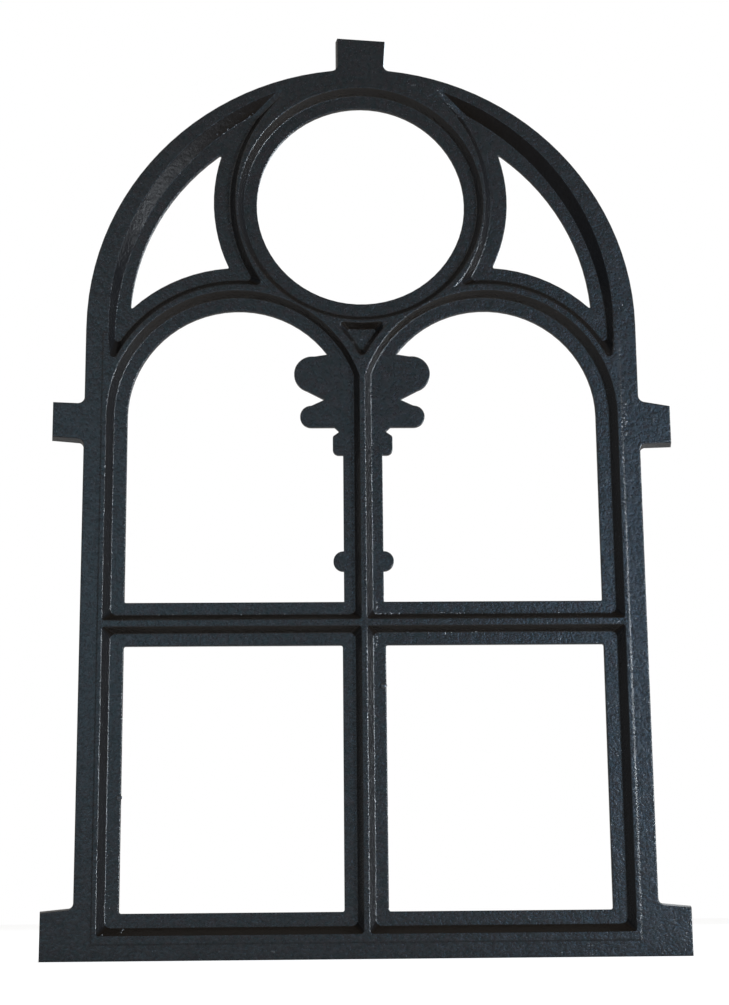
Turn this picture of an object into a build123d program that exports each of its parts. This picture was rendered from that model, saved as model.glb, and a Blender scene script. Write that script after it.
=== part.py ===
import os

from build123d import *

# Iron barn window: one casting, upright as it stands in a wall, millimetres, +Z up.
# X runs across the window, +Y points outdoors, and the glazing side with its ribs faces -Y.
# The origin is on the bed face under the bottom bar, in the middle of the width and depth.

# Frame
frame_width = 570.0
springing_height = 636.5
edge_draft_angle = 8.0

# Depths, measured from the flat outdoor face; the border outside the ribs stands a little lower
flange_thickness = 5.0
rib_height = 9.0
border_step = 0.8

# Bars between the lights
jamb_width = 44.8
bottom_bar_width = 44.7
transom_height = 305.1
transom_width = 43.7
mullion_width = 40.0
lower_mullion_width = 43.2
light_corner_radius = 2.0

# Light heads and round light
head_drop = 95.1
head_inset = 14.2
ring_bar_width = 39.8
crown_bar_width = 42.4

# Glazing rebates: flange round a light, foot of the inner ribs, and how far rib walls lean back
rebate_width = 13.5
mullion_rib_foot = 17.5
transom_rib_foot = 18.6
rib_lean = 6.0
frame_lean = 7.5
rebate_foot_radius = 6.0
rebate_rim_radius = 3.0

# Raised band of the rib tops along the jambs, the bottom bar and the crown
jamb_band_width = 4.5
bottom_band_width = 8.0
ring_band_width = 5.5

# Spandrels: outer bars of the light heads and of the ring, the flange on the ring side, and how
# far the light and the rib walls are flatter there than the round light is
head_outer_bar = 46.5
ring_outer_bar = 45.0
ring_flange_width = 17.0
ring_light_flattening = 14.0
ring_wall_flattening = 30.0
ring_side_rise = 4.0
spandrel_lean = 7.0
spandrel_light_radius = 1.5
spandrel_foot_radius = 3.5
spandrel_rim_radius = 4.0

# Arch side of a spandrel: its light, flange foot and rib top are arcs of their own. Each has its
# radius short of the half width, its centre off the middle line and above the springing.
arch_light_inset = 54.9
arch_light_shift = 9.3
arch_light_rise = 6.1
arch_foot_inset = 2.1
arch_foot_shift = -28.2
arch_foot_rise = -10.6
arch_rim_inset = 15.4
arch_rim_shift = -8.3
arch_rim_rise = 7.2

# Blind pocket between the ring and the light heads
pocket_rim_gap = 2.7
pocket_lean = 5.4
pocket_foot_radius = 2.0
pocket_rim_radius = 5.0

# Fixing lugs
lug_reach = 32.0
lug_overlap = 20.0
lug_root_radius = 5.0
bottom_lug_root = 50.5
bottom_lug_tip = 47.5
left_middle_lug_root = 41.0
left_middle_lug_tip = 39.5
left_middle_lug_drop = 101.6
right_middle_lug_root = 48.5
right_middle_lug_tip = 42.0
right_middle_lug_drop = 104.6
middle_lug_tilt = 2.2
top_lug_left = 25.3
top_lug_right = 25.5
top_lug_spread = 3.5
top_lug_height = 35.6
top_lug_slope = 3.8

# Column outline on the upper mullion, half of it seen from the centre line. The base bead is
# placed from the transom up, necking and leaves from the springing of the light heads down.
base_bead_rise = 41.5
base_bead_height = 20.4
base_bead_reach = 30.5
necking_bottom_drop = 40.9
necking_top_drop = 21.4
necking_reach = 30.5
necking_bottom_radius = 6.0
necking_top_radius = 3.0
throat_drop = 16.4
throat_reach = 23.5
lower_leaf_bottom_drop = 11.6
lower_leaf_root = 28.5
lower_leaf_rise = 22.7
lower_leaf_reach = 63.8
leaf_notch_rise = 17.6
leaf_notch_reach = 38.5
upper_leaf_flank_rise = 27.3
upper_leaf_flank_reach = 57.0
upper_leaf_tip_rise = 42.9
upper_leaf_tip_reach = 69.8
upper_leaf_top_rise = 63.6
upper_leaf_top_reach = 49.0
upper_notch_rise = 65.6
upper_notch_reach = 36.5

# Working planes, each facing the glazing side
frame_depth = flange_thickness + rib_height
outdoor_face = Plane.XZ.offset(-frame_depth / 2)
flange_face = outdoor_face.offset(flange_thickness)
border_face = outdoor_face.offset(frame_depth - border_step)
rib_face = outdoor_face.offset(frame_depth)

# Places that follow from the sizes above
half_width = frame_width / 2
crown_height = springing_height + half_width
light_side = half_width - jamb_width
transom_top = transom_height + transom_width
transom_middle = transom_height + transom_width / 2
mullion_side = mullion_width / 2
head_height = springing_height - head_drop
head_radius = (light_side - head_inset) / 2
head_centre = light_side - head_radius

# The round light touches neither: its ring bar keeps it off the light heads and its crown bar
# off the crown, which sets its radius
head_reach = head_radius + ring_bar_width
crown_reach = crown_height - crown_bar_width - head_height
oculus_radius = (head_centre**2 + crown_reach**2 - head_reach**2) / (2 * (head_reach + crown_reach))
oculus_height = crown_height - crown_bar_width - oculus_radius
head_outer_radius = head_radius + head_outer_bar
ring_outer_radius = oculus_radius + ring_outer_bar

# Feet and rims of the rebates
foot_side = light_side + rebate_width
rim_side = foot_side + frame_lean
bottom_foot = bottom_bar_width - rebate_width
bottom_rim = bottom_foot - frame_lean
mullion_foot = mullion_rib_foot / 2
mullion_rim = mullion_foot - rib_lean
lower_foot_top = transom_middle - transom_rib_foot / 2
upper_foot_bottom = transom_middle + transom_rib_foot / 2
head_foot_radius = head_radius + rebate_width
ring_foot_radius = oculus_radius + rebate_width
head_band_radius = head_outer_radius - rebate_width - spandrel_lean
ring_rim_radius = ring_foot_radius + rib_lean

# Leaves and beads
base_bead_level = transom_top + base_bead_rise
necking_bottom = head_height - necking_bottom_drop
necking_top = head_height - necking_top_drop
throat_level = head_height - throat_drop
lower_leaf_bottom = head_height - lower_leaf_bottom_drop
lower_leaf_top = lower_leaf_bottom + lower_leaf_rise
leaf_notch_level = head_height + leaf_notch_rise
upper_leaf_flank = head_height + upper_leaf_flank_rise
upper_leaf_tip = head_height + upper_leaf_tip_rise
upper_leaf_top = head_height + upper_leaf_top_rise
upper_notch_level = head_height + upper_notch_rise

# Outline of the frame with its fixing lugs; it runs on below the bed face, which is trimmed flat
with BuildSketch() as outline:
    with Locations((0, springing_height)):
        Circle(half_width)
        Rectangle(
            frame_width,
            springing_height + frame_depth,
            align=(Align.CENTER, Align.MAX),
        )
    for side in (-1, 1):
        with BuildLine():
            Polyline(
                (side * (half_width - lug_overlap), -frame_depth),
                (side * (half_width + lug_reach), -frame_depth),
                (side * (half_width + lug_reach), bottom_lug_tip),
                (side * half_width, bottom_lug_root),
                (side * (half_width - lug_overlap), bottom_lug_root),
                close=True,
            )
        make_face()
    for side, drop, root, tip in (
        (-1, left_middle_lug_drop, left_middle_lug_root, left_middle_lug_tip),
        (1, right_middle_lug_drop, right_middle_lug_root, right_middle_lug_tip),
    ):
        level = springing_height - drop
        tip_level = level - side * middle_lug_tilt
        with BuildLine():
            Polyline(
                (side * (half_width - lug_overlap), level - root / 2),
                (side * half_width, level - root / 2),
                (side * (half_width + lug_reach), tip_level - tip / 2),
                (side * (half_width + lug_reach), tip_level + tip / 2),
                (side * half_width, level + root / 2),
                (side * (half_width - lug_overlap), level + root / 2),
                close=True,
            )
        make_face()
    with BuildLine():
        Polyline(
            (-top_lug_left, crown_height - lug_overlap),
            (-top_lug_left, crown_height + top_lug_height),
            (top_lug_right + top_lug_spread, crown_height + top_lug_height - top_lug_slope),
            (top_lug_right, crown_height - lug_overlap),
            close=True,
        )
    make_face()
    lug_roots = outline.vertices().filter_by(
        lambda v: 1 < v.Y < crown_height
        and abs(v.X) < half_width + 1
        and abs(v.Y - springing_height) > 1
    )
    fillet(lug_roots, lug_root_radius)

# Column outline: base bead, shaft, necking and two pairs of leaves, right-hand half
lower_leaf_middle = (lower_leaf_bottom + lower_leaf_top) / 2
lower_leaf_start = lower_leaf_reach - lower_leaf_rise / 2
with BuildSketch() as column:
    with BuildLine():
        Polyline(
            (0, upper_notch_level),
            (0, transom_top - rebate_width),
            (mullion_side, transom_top - rebate_width),
            (mullion_side, base_bead_level - base_bead_height / 2),
        )
        ThreePointArc(
            (mullion_side, base_bead_level - base_bead_height / 2),
            (base_bead_reach, base_bead_level),
            (mullion_side, base_bead_level + base_bead_height / 2),
        )
        Line(
            (mullion_side, base_bead_level + base_bead_height / 2),
            (mullion_side, necking_bottom),
        )
        FilletPolyline(
            (mullion_side, necking_bottom),
            (necking_reach, necking_bottom),
            (necking_reach, necking_top),
            (throat_reach, throat_level),
            radius=[necking_bottom_radius, necking_top_radius],
        )
        Polyline(
            (throat_reach, throat_level),
            (lower_leaf_root, lower_leaf_bottom),
            (lower_leaf_start, lower_leaf_bottom),
        )
        ThreePointArc(
            (lower_leaf_start, lower_leaf_bottom),
            (lower_leaf_reach, lower_leaf_middle),
            (lower_leaf_start, lower_leaf_top),
        )
        Polyline(
            (lower_leaf_start, lower_leaf_top),
            (leaf_notch_reach, leaf_notch_level),
            (upper_leaf_flank_reach, upper_leaf_flank),
        )
        ThreePointArc(
            (upper_leaf_flank_reach, upper_leaf_flank),
            (upper_leaf_tip_reach, upper_leaf_tip),
            (upper_leaf_top_reach, upper_leaf_top),
        )
        Polyline(
            (upper_leaf_top_reach, upper_leaf_top),
            (upper_notch_reach, upper_notch_level),
            (0, upper_notch_level),
        )
    make_face()


# Square pane outline of a lower light, right-hand one, given by its four sides
def square_outline(left, right, bottom, top, corner_radius):
    with BuildSketch() as pane:
        with BuildLine():
            Polyline((left, bottom), (right, bottom), (right, top), (left, top), close=True)
        make_face()
        fillet(pane.vertices(), corner_radius)
    return pane.sketch


# Round-headed pane outline of an upper light, right-hand one; its head runs into the right side
def arched_outline(left, right, bottom, radius, corner_radius):
    with BuildSketch() as pane:
        with Locations((right - radius, head_height)):
            Circle(radius)
        with Locations((left, head_height)):
            Rectangle(frame_width, frame_width, align=(Align.MAX, Align.CENTER), mode=Mode.SUBTRACT)
            Rectangle(right - left, head_height - bottom, align=(Align.MIN, Align.MAX))
        fillet(pane.vertices().group_by(Axis.Y)[0], corner_radius)
    return pane.sketch


# Three-cornered outline of a spandrel, right-hand one: inside its arc under the arch, outside the
# ring and outside the light head, the last two by the given cuts short of their full size. It lies
# beyond the line that joins the middle of the round light with the middle of the light head.
def spandrel_outline(
    arch_inset, arch_shift, arch_rise, ring_flattening, ring_cut, head_cut, corner_radius
):
    with BuildSketch() as spandrel:
        with BuildLine():
            Polyline(
                (0, oculus_height),
                (head_centre, head_height),
                (half_width, head_height),
                (half_width, crown_height),
                (0, crown_height),
                close=True,
            )
        make_face()
        with Locations((arch_shift, springing_height + arch_rise)):
            Circle(half_width - arch_inset, mode=Mode.INTERSECT)
        with Locations((-ring_flattening, oculus_height + ring_side_rise)):
            Circle(ring_outer_radius + ring_flattening - ring_cut, mode=Mode.SUBTRACT)
        with Locations((head_centre, head_height)):
            Circle(head_outer_radius - head_cut, mode=Mode.SUBTRACT)
        fillet(spandrel.vertices(), corner_radius)
    return spandrel.sketch


# Blind pocket outline between the middles of the round light and of the two light heads
def pocket_outline(ring_cut, head_cut, corner_radius):
    with BuildSketch() as pocket:
        with BuildLine():
            Polyline(
                (0, oculus_height),
                (head_centre, head_height),
                (-head_centre, head_height),
                close=True,
            )
        make_face()
        with Locations((0, oculus_height)):
            Circle(ring_cut, mode=Mode.SUBTRACT)
        with Locations((head_centre, head_height), (-head_centre, head_height)):
            Circle(head_cut, mode=Mode.SUBTRACT)
        fillet(pocket.vertices(), corner_radius)
    return pocket.sketch


# Rebates of the right-hand lights: each leans from its foot on the flange to the rib tops
with BuildPart() as rebates:
    with BuildSketch(flange_face):
        add(square_outline(mullion_foot, foot_side, bottom_foot, lower_foot_top, rebate_foot_radius))
    with BuildSketch(rib_face):
        add(
            square_outline(
                mullion_rim,
                rim_side,
                bottom_rim,
                lower_foot_top + rib_lean,
                rebate_rim_radius,
            )
        )
    loft(ruled=True)

    with BuildSketch(flange_face):
        add(
            arched_outline(
                mullion_foot,
                foot_side,
                upper_foot_bottom,
                head_foot_radius,
                rebate_foot_radius,
            )
        )
    with BuildSketch(rib_face):
        add(
            arched_outline(
                mullion_rim,
                rim_side,
                upper_foot_bottom - rib_lean,
                head_foot_radius + rib_lean,
                rebate_rim_radius,
            )
        )
    loft(ruled=True)

    with BuildSketch(flange_face):
        add(
            spandrel_outline(
                arch_foot_inset,
                arch_foot_shift,
                arch_foot_rise,
                ring_wall_flattening,
                ring_flange_width,
                rebate_width,
                spandrel_foot_radius,
            )
        )
    with BuildSketch(rib_face):
        add(
            spandrel_outline(
                arch_rim_inset,
                arch_rim_shift,
                arch_rim_rise,
                ring_wall_flattening,
                ring_flange_width + rib_lean,
                rebate_width + spandrel_lean,
                spandrel_rim_radius,
            )
        )
    loft(ruled=True)
    mirror(about=Plane.YZ)

    with BuildSketch(flange_face):
        add(
            pocket_outline(
                ring_rim_radius + pocket_rim_gap + pocket_lean,
                head_band_radius + pocket_lean,
                pocket_foot_radius,
            )
        )
    with BuildSketch(rib_face):
        add(pocket_outline(ring_rim_radius + pocket_rim_gap, head_band_radius, pocket_rim_radius))
    loft(ruled=True)

# Lights, right-hand half
with BuildSketch() as lights:
    add(
        square_outline(
            lower_mullion_width / 2,
            light_side,
            bottom_bar_width,
            transom_height,
            light_corner_radius,
        )
    )
    with BuildSketch(mode=Mode.PRIVATE) as upper_light:
        add(arched_outline(0, light_side, transom_top, head_radius, light_corner_radius))
        add(column.sketch, mode=Mode.SUBTRACT)
    add(upper_light.sketch)
    add(
        spandrel_outline(
            arch_light_inset,
            arch_light_shift,
            arch_light_rise,
            ring_light_flattening,
            0,
            0,
            spandrel_light_radius,
        )
    )

# Section of the round light, from its axis out: through hole, flange and leaning rebate wall
with BuildSketch(Plane.YZ) as oculus_section:
    with BuildLine():
        Polyline(
            (frame_depth / 2, oculus_height),
            (frame_depth / 2, oculus_height + oculus_radius),
            (frame_depth / 2 - flange_thickness, oculus_height + oculus_radius),
            (frame_depth / 2 - flange_thickness, oculus_height + ring_foot_radius),
            (-frame_depth / 2, oculus_height + ring_rim_radius),
            (-frame_depth / 2, oculus_height),
            close=True,
        )
    make_face()

# Border: everything outside the raised band of the rib tops
with BuildSketch() as border:
    add(outline.sketch)
    with Locations((0, bottom_rim - bottom_band_width)):
        Rectangle(
            2 * (rim_side + jamb_band_width),
            springing_height - bottom_rim,
            align=(Align.CENTER, Align.MIN),
            mode=Mode.SUBTRACT,
        )
    with Locations((0, oculus_height)):
        Circle(ring_rim_radius + ring_band_width, mode=Mode.SUBTRACT)
    with Locations((head_centre, head_height), (-head_centre, head_height)):
        Circle(head_band_radius, mode=Mode.SUBTRACT)

# The casting: the outline at full depth, less the border step, the rebates and the lights
with BuildPart() as window_casting:
    with BuildSketch(outdoor_face):
        add(outline.sketch)
    extrude(amount=frame_depth, taper=edge_draft_angle)
    split(bisect_by=Plane.XY, keep=Keep.TOP)

    with BuildSketch(border_face):
        add(border.sketch)
    extrude(amount=frame_depth, mode=Mode.SUBTRACT)

    add(rebates.part, mode=Mode.SUBTRACT)

    with BuildSketch(outdoor_face):
        add(lights.sketch)
        mirror(about=Plane.YZ)
    extrude(amount=frame_depth, mode=Mode.SUBTRACT)

    add(oculus_section.sketch)
    revolve(axis=Axis((0, 0, oculus_height), (0, 1, 0)), mode=Mode.SUBTRACT)

os.makedirs("parts", exist_ok=True)
window_casting.part.label = "window_casting"
export_step(window_casting.part, "parts/window_casting.step")
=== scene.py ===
import bpy, bmesh, math, random
from mathutils import Matrix, Vector
from mathutils.bvhtree import BVHTree


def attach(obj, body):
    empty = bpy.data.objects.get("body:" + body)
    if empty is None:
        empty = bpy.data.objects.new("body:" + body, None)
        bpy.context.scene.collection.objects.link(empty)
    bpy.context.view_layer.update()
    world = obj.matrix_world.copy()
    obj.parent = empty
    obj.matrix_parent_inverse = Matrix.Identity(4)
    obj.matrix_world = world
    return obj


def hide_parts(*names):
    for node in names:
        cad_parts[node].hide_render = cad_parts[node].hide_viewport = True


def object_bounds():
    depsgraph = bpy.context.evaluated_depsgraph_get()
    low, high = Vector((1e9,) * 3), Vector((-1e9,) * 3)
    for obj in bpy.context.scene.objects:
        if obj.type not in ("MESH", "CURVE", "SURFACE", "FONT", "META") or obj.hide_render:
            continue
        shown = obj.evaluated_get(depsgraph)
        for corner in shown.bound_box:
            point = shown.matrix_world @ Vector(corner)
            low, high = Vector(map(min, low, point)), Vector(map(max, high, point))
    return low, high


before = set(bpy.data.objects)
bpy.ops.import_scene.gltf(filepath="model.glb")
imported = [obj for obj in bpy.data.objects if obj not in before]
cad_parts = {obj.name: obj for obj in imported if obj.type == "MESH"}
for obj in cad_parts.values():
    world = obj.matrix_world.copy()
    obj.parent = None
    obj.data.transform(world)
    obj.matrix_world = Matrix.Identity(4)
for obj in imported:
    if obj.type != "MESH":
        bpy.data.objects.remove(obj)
size_before = [list(c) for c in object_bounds()]

# Window casting: one iron casting, black paint over the rough skin of the sand mould.
# The CAD mesh is merged, and the shader rounds its arrises and hollows as a casting's are.
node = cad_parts["window_casting"]
mesh = node.data.copy()
mesh.name = "window_casting_skin"
bm = bmesh.new()
bm.from_mesh(mesh)
bmesh.ops.transform(bm, matrix=node.matrix_world, verts=bm.verts)
bmesh.ops.remove_doubles(bm, verts=bm.verts, dist=0.00001)
for face in bm.faces:
    face.smooth = True
bm.to_mesh(mesh)
skin = BVHTree.FromBMesh(bm)
bm.free()
mesh.attributes.remove(mesh.attributes["custom_normal"])
mesh.set_sharp_from_angle(angle=math.radians(20))
casting = bpy.data.objects.new("window_casting_skin", mesh)
bpy.context.scene.collection.objects.link(casting)
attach(casting, "root")
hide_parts("window_casting")

# Its paint: black with a cold tone on the flats, plainer on the walls of the rebates and browner on
# those that lean up or down, over the sand's grain and the soft lumps of the casting.
paint = bpy.data.materials.new("painted_iron")
paint.use_nodes = True
nodes = paint.node_tree.nodes
links = paint.node_tree.links
shader = nodes["Principled BSDF"]
coords = nodes.new("ShaderNodeTexCoord")
arris = nodes.new("ShaderNodeBevel")
arris.samples = 8
arris.inputs["Radius"].default_value = 0.002

# Fine grain and soft lumps in the surface
grain = nodes.new("ShaderNodeTexNoise")
grain.inputs["Scale"].default_value = 380
grain.inputs["Detail"].default_value = 4
grain.inputs["Roughness"].default_value = 0.6
lumps = nodes.new("ShaderNodeTexNoise")
lumps.inputs["Scale"].default_value = 95
lumps.inputs["Detail"].default_value = 4
grain_bump = nodes.new("ShaderNodeBump")
grain_bump.inputs["Strength"].default_value = 0.5
grain_bump.inputs["Distance"].default_value = 0.0008
lump_bump = nodes.new("ShaderNodeBump")
lump_bump.inputs["Strength"].default_value = 0.4
lump_bump.inputs["Distance"].default_value = 0.0015
links.new(arris.outputs["Normal"], lump_bump.inputs["Normal"])
links.new(coords.outputs["Object"], grain.inputs["Vector"])
links.new(coords.outputs["Object"], lumps.inputs["Vector"])
links.new(grain.outputs["Fac"], grain_bump.inputs["Height"])
links.new(lumps.outputs["Fac"], lump_bump.inputs["Height"])
links.new(lump_bump.outputs["Normal"], grain_bump.inputs["Normal"])
links.new(grain_bump.outputs["Normal"], shader.inputs["Normal"])

# Colour: cold black on whatever faces straight out, blotched with duller and greener paint,
# plain black on the walls that lean sideways, and a darker brown on those that lean up or down.
# Sockets 0, 6 and 7 of a colour mix are its share and its two colours, and output 2 the mixed one.
blotch = nodes.new("ShaderNodeTexNoise")
blotch.inputs["Scale"].default_value = 160
blotch.inputs["Detail"].default_value = 6
blotch.inputs["Roughness"].default_value = 0.7
blotches = nodes.new("ShaderNodeValToRGB")
blotches.color_ramp.elements[0].position = 0.36
blotches.color_ramp.elements[0].color = (0.0150, 0.0125, 0.0140, 1)
blotches.color_ramp.elements[1].position = 0.64
blotches.color_ramp.elements[1].color = (0.0065, 0.0112, 0.0122, 1)
links.new(coords.outputs["Object"], blotch.inputs["Vector"])
links.new(blotch.outputs["Fac"], blotches.inputs["Fac"])
facing = nodes.new("ShaderNodeSeparateXYZ")
links.new(coords.outputs["Normal"], facing.inputs[0])
upright = nodes.new("ShaderNodeMath")
upright.operation = "ABSOLUTE"
links.new(facing.outputs["Z"], upright.inputs[0])
wall = nodes.new("ShaderNodeValToRGB")
wall.color_ramp.elements[0].position = 0.15
wall.color_ramp.elements[0].color = (0.0105, 0.0105, 0.0115, 1)
wall.color_ramp.elements[1].position = 0.6
wall.color_ramp.elements[1].color = (0.0100, 0.0070, 0.0050, 1)
links.new(upright.outputs[0], wall.inputs["Fac"])
steep = nodes.new("ShaderNodeMapRange")
steep.inputs["From Min"].default_value = -0.98
steep.inputs["From Max"].default_value = -0.9
links.new(facing.outputs["Y"], steep.inputs["Value"])
film = nodes.new("ShaderNodeMix")
film.data_type = "RGBA"
links.new(steep.outputs["Result"], film.inputs[0])
links.new(blotches.outputs["Color"], film.inputs[6])
links.new(wall.outputs["Color"], film.inputs[7])
links.new(film.outputs[2], shader.inputs["Base Color"])
gloss = nodes.new("ShaderNodeMapRange")
gloss.inputs["From Min"].default_value = 0.3
gloss.inputs["From Max"].default_value = 0.7
gloss.inputs["To Min"].default_value = 0.14
gloss.inputs["To Max"].default_value = 0.25
links.new(lumps.outputs["Fac"], gloss.inputs["Value"])
links.new(gloss.outputs["Result"], shader.inputs["Roughness"])

# Sheen: uneven from spot to spot on the flats, and taken off the broad walls along the arch, which
# lean back most, by limits set to match the photo. Sockets 2 and 3 of a plain mix are its values.
leaning = nodes.new("ShaderNodeMapRange")
leaning.inputs["From Min"].default_value = -0.73
leaning.inputs["From Max"].default_value = -0.6
leaning.inputs["To Min"].default_value = 0.06
leaning.inputs["To Max"].default_value = 0.5
links.new(facing.outputs["Y"], leaning.inputs["Value"])
patchy = nodes.new("ShaderNodeMapRange")
patchy.inputs["From Min"].default_value = 0.35
patchy.inputs["From Max"].default_value = 0.65
patchy.inputs["To Min"].default_value = 0.36
patchy.inputs["To Max"].default_value = 0.64
links.new(grain.outputs["Fac"], patchy.inputs["Value"])
sheen = nodes.new("ShaderNodeMix")
links.new(steep.outputs["Result"], sheen.inputs[0])
links.new(leaning.outputs["Result"], sheen.inputs[3])
links.new(patchy.outputs["Result"], sheen.inputs[2])
links.new(sheen.outputs[0], shader.inputs["Specular IOR Level"])
mesh.materials.clear()
mesh.materials.append(paint)

# Beads: flattened drops under the same black paint, read from bright specks in the photo. A run is
# its two ends in X and Z, its count and their mean radius, with random places along it. The two
# largest kinds stand out over the edges of the mullion and of the lower left light.
front = size_before[0][1]
flatness = 0.4
stray = 0.0006
random.seed(11)
bm = bmesh.new()
for start, end, count, radius in (
    ((0.0095, 0.3375), (0.0200, 0.3370), 9, 0.0010),
    ((0.0200, 0.3370), (0.0950, 0.3370), 17, 0.0008),
    ((0.0950, 0.3370), (0.2300, 0.3370), 7, 0.0006),
    ((-0.2200, 0.3370), (-0.0200, 0.3370), 9, 0.0006),
    ((0.0120, 0.3380), (0.0125, 0.3530), 8, 0.0009),
    ((0.0120, 0.3160), (0.0120, 0.3010), 9, 0.0009),
    ((0.0150, 0.3170), (0.1200, 0.3170), 12, 0.0008),
    ((-0.1560, 0.8450), (-0.1100, 0.8740), 10, 0.0008),
    ((0.0800, 0.9000), (0.1050, 0.8680), 12, 0.0008),
    ((0.1070, 0.6930), (0.1270, 0.7300), 10, 0.0007),
    ((0.2680, 0.5100), (0.2690, 0.5550), 18, 0.0012),
    ((-0.2550, 0.0240), (-0.2300, 0.0300), 4, 0.0008),
    ((-0.2430, 0.0100), (-0.0900, 0.0080), 5, 0.0008),
    ((0.1900, 0.0100), (0.2600, 0.0110), 3, 0.0008),
    ((0.0187, 0.2630), (0.0187, 0.2650), 2, 0.0021),
    ((-0.2420, 0.1500), (-0.2420, 0.1590), 3, 0.0017),
    ((0.2690, 0.5600), (0.2685, 0.6900), 6, 0.0006),
    ((0.0480, 0.9050), (0.0650, 0.9000), 4, 0.0008),
    ((-0.0030, 0.6250), (0.0060, 0.6180), 3, 0.0009),
    ((-0.2500, 0.0400), (-0.2500, 0.3000), 5, 0.0006),
    ((0.0110, 0.0400), (0.0110, 0.2900), 8, 0.0006),
):
    for i in range(count):
        share = random.random()
        x = start[0] + (end[0] - start[0]) * share + random.gauss(0, stray)
        z = start[1] + (end[1] - start[1]) * share + random.gauss(0, stray)
        hit = skin.ray_cast(Vector((x, -0.1, z)), Vector((0, 1, 0)))[0]
        size = radius * random.uniform(0.8, 1.7)
        seat = Matrix.Translation((x, max(hit.y, front + flatness * size), z))
        flat = Matrix.Diagonal((1, flatness, 1, 1))
        bmesh.ops.create_icosphere(bm, subdivisions=3, radius=size, matrix=seat @ flat)
for face in bm.faces:
    face.smooth = True
bead_mesh = bpy.data.meshes.new("casting_beads")
bm.to_mesh(bead_mesh)
bm.free()
beads = bpy.data.objects.new("casting_beads", bead_mesh)
bpy.context.scene.collection.objects.link(beads)
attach(beads, "root")
bead_paint = bpy.data.materials.new("painted_beads")
bead_paint.use_nodes = True
bead_shader = bead_paint.node_tree.nodes["Principled BSDF"]
bead_shader.inputs["Base Color"].default_value = (0.011, 0.0115, 0.0135, 1)
bead_shader.inputs["Roughness"].default_value = 0.22
bead_shader.inputs["Specular IOR Level"].default_value = 1.0
bead_mesh.materials.append(bead_paint)

# Floor: plain white ground that only catches the shadow of the frame. Not part of the object.
floor_mesh = bpy.data.meshes.new("floor")
bm = bmesh.new()
bmesh.ops.create_grid(bm, x_segments=1, y_segments=1, size=6)
bm.to_mesh(floor_mesh)
bm.free()
floor = bpy.data.objects.new("floor", floor_mesh)
bpy.context.scene.collection.objects.link(floor)
chalk = bpy.data.materials.new("floor_white")
chalk.use_nodes = True
chalk_shader = chalk.node_tree.nodes["Principled BSDF"]
chalk_shader.inputs["Base Color"].default_value = (0.9, 0.9, 0.9, 1)
chalk_shader.inputs["Roughness"].default_value = 1.0
chalk_shader.inputs["Emission Color"].default_value = (1, 1, 1, 1)
chalk_path = chalk.node_tree.nodes.new("ShaderNodeLightPath")
chalk_glow = chalk.node_tree.nodes.new("ShaderNodeMath")
chalk_glow.operation = "MULTIPLY"
chalk_glow.inputs[1].default_value = 0.72
chalk.node_tree.links.new(chalk_path.outputs["Is Camera Ray"], chalk_glow.inputs[0])
chalk.node_tree.links.new(chalk_glow.outputs[0], chalk_shader.inputs["Emission Strength"])
floor_mesh.materials.append(chalk)

# Sky: white behind the object for the camera, and an even soft light for everything else
world = bpy.data.worlds.new("sky")
bpy.context.scene.world = world
world.use_nodes = True
sky = world.node_tree.nodes
sky["Background"].inputs["Color"].default_value = (1, 0.98, 0.95, 1)
sky["Background"].inputs["Strength"].default_value = 0.25
seen = sky.new("ShaderNodeBackground")
seen.inputs["Color"].default_value = (1, 1, 1, 1)
seen.inputs["Strength"].default_value = 1.0
path = sky.new("ShaderNodeLightPath")
mix = sky.new("ShaderNodeMixShader")
world.node_tree.links.new(path.outputs["Is Camera Ray"], mix.inputs[0])
world.node_tree.links.new(sky["Background"].outputs[0], mix.inputs[1])
world.node_tree.links.new(seen.outputs[0], mix.inputs[2])
world.node_tree.links.new(mix.outputs[0], sky["World Output"].inputs["Surface"])

# Lamps: a small pale one far to the right draws the thin lines in the hollows, two blue ones give
# the sheen on the right border and the left jamb, and weak ones fill the front and the back.
for name, place, aim, width, height, power, colour in (
    ("key", (2.3, -2.2, 0.55), (0, 0, 0.45), 0.3, 0.4, 90, (0.85, 0.93, 1.0)),
    ("window", (1.15, -2.4, 0.6), (0, 0, 0.45), 0.3, 1.6, 10, (0.32, 0.62, 1.0)),
    ("room", (-0.85, -2.6, 0.8), (0, 0, 0.4), 1.1, 0.9, 4.5, (0.42, 0.74, 1.0)),
    ("fill", (-1.6, -1.9, 2.2), (0, 0, 0.5), 1.2, 1.2, 4, (1.0, 0.9, 0.82)),
    ("back", (1.0, 2.6, 1.7), (0, 0, 0.5), 1.2, 1.2, 14, (0.85, 0.93, 1.0)),
):
    lamp = bpy.data.lights.new(name, "AREA")
    lamp.shape = "RECTANGLE"
    lamp.size = width
    lamp.size_y = height
    lamp.energy = power
    lamp.color = colour
    holder = bpy.data.objects.new(name, lamp)
    holder.location = place
    holder.rotation_euler = (Vector(aim) - Vector(place)).to_track_quat("-Z", "Y").to_euler()
    bpy.context.scene.collection.objects.link(holder)

# Camera: solved from the outlines of the lights and the arch in the photo
camera = bpy.data.cameras.new("camera")
camera.lens = 68.06
camera.sensor_width = 36
viewer = bpy.data.objects.new("camera", camera)
right = Vector((0.999681, -0.023632, -0.00887))
down = Vector((-0.003718, 0.2097, -0.977759))
ahead = Vector((0.024967, 0.97748, 0.209545))
turn = Matrix((right, -down, -ahead)).transposed().to_4x4()
viewer.matrix_world = Matrix.Translation((-0.04684, -1.8838, 0.04654)) @ turn
bpy.context.scene.collection.objects.link(viewer)
bpy.context.scene.camera = viewer
bpy.context.scene.view_settings.view_transform = "Standard"
